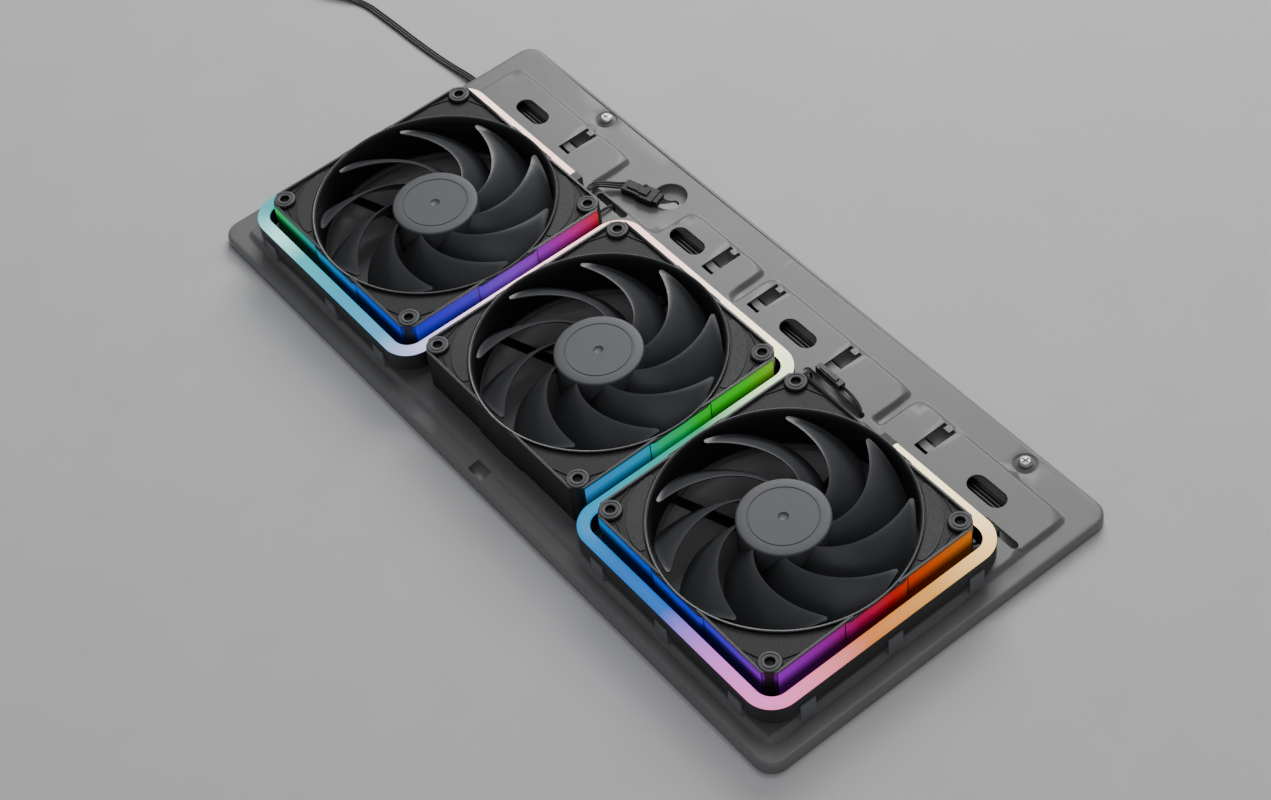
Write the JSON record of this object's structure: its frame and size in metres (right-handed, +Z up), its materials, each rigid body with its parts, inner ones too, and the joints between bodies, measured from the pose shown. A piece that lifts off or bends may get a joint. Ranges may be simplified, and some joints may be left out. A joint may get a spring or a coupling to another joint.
{
  "type": "radiator fan tray",
  "caption": "Stamped steel fan tray of a computer's liquid cooling radiator, with a row of axial fans, a serpentine light strip, captive screws and a flat lead.",
  "frame": {"origin": "centre of the tray's footprint, on the surface it stands on", "axes": "+X along the row of fans, +Y towards the tray's wide slotted margin, +Z up along the fans' axes"},
  "size_m": [0.5856, 0.195, 0.0335],
  "materials": {
    "painted_steel": "satin",
    "fan_frame": "satin",
    "pad_rubber": "matte",
    "black_screw": "satin",
    "circuit_board": "satin",
    "stator_steel": "satin",
    "copper_wire": "gloss",
    "bronze": "satin",
    "impeller": "satin",
    "magnet": "matte",
    "polished_steel": "polished",
    "cable": "satin",
    "strip_silicone": "satin",
    "diffuser": "satin",
    "strip_board": "matte",
    "emitter": "gloss",
    "cap_grey": "satin",
    "cap_black": "satin",
    "clip_grey": "satin",
    "connector": "satin",
    "zinc_screw": "satin",
    "spring_steel": "satin"
  },
  "bodies": {
    "chassis": {"tray": "painted_steel", "fan_frame_1": "fan_frame", "fan_pads_1": "pad_rubber", "fan_screws_1": "black_screw", "fan_board_1": "circuit_board", "stator_core_1": "stator_steel", "stator_coils_1": "copper_wire", "bearing_1": "bronze", "fan_lead_1": "cable", "fan_frame_2": "fan_frame", "fan_pads_2": "pad_rubber", "fan_screws_2": "black_screw", "fan_board_2": "circuit_board", "stator_core_2": "stator_steel", "stator_coils_2": "copper_wire", "bearing_2": "bronze", "fan_lead_2": "cable", "fan_frame_3": "fan_frame", "fan_pads_3": "pad_rubber", "fan_screws_3": "black_screw", "fan_board_3": "circuit_board", "stator_core_3": "stator_steel", "stator_coils_3": "copper_wire", "bearing_3": "bronze", "fan_lead_3": "cable", "light_body": "strip_silicone", "light_diffuser": "diffuser", "light_board": "strip_board", "light_emitters": "emitter", "light_cap_start": "cap_grey", "light_cap_end": "cap_black", "light_feet": "clip_grey", "light_lead": "cable", "light_plug": "connector", "light_socket": "connector", "harness": "cable", "lead_grommet": "connector", "lead_cord": "cable", "lead_coil": "cable", "lead_tail": "cable", "lead_plug": "connector"},
    "rotor_1": {"impeller_1": "impeller", "magnet_ring_1": "magnet", "rotor_cup_1": "stator_steel", "shaft_1": "polished_steel"},
    "rotor_2": {"impeller_2": "impeller", "magnet_ring_2": "magnet", "rotor_cup_2": "stator_steel", "shaft_2": "polished_steel"},
    "rotor_3": {"impeller_3": "impeller", "magnet_ring_3": "magnet", "rotor_cup_3": "stator_steel", "shaft_3": "polished_steel"},
    "screw_1": {"captive_screw_1": "zinc_screw"},
    "screw_2": {"captive_screw_2": "zinc_screw"},
    "clip_1": {"screw_clip_1": "spring_steel"},
    "clip_2": {"screw_clip_2": "spring_steel"}
  },
  "joints": [
    {"name": "rotor_1_spin", "type": "hinge", "parent": "chassis", "child": "rotor_1", "pos_m": [-0.126, -0.02, 0.03], "axis": [0, 0, 1], "continuous": true},
    {"name": "rotor_2_spin", "type": "hinge", "parent": "chassis", "child": "rotor_2", "pos_m": [0.002, -0.02, 0.03], "axis": [0, 0, 1], "continuous": true},
    {"name": "rotor_3_spin", "type": "hinge", "parent": "chassis", "child": "rotor_3", "pos_m": [0.13, -0.02, 0.03], "axis": [0, 0, 1], "continuous": true},
    {"name": "screw_1_lift", "type": "slide", "parent": "chassis", "child": "clip_1", "axis": [0, 0, 1], "range_m": [0, 0.0012]},
    {"name": "screw_1_turn", "type": "hinge", "parent": "clip_1", "child": "screw_1", "pos_m": [-0.1365, 0.0899, 0.003], "axis": [0, 0, 1], "continuous": true},
    {"name": "screw_2_lift", "type": "slide", "parent": "chassis", "child": "clip_2", "axis": [0, 0, 1], "range_m": [0, 0.0012]},
    {"name": "screw_2_turn", "type": "hinge", "parent": "clip_2", "child": "screw_2", "pos_m": [0.1641, 0.0891, 0.003], "axis": [0, 0, 1], "continuous": true}
  ]
}
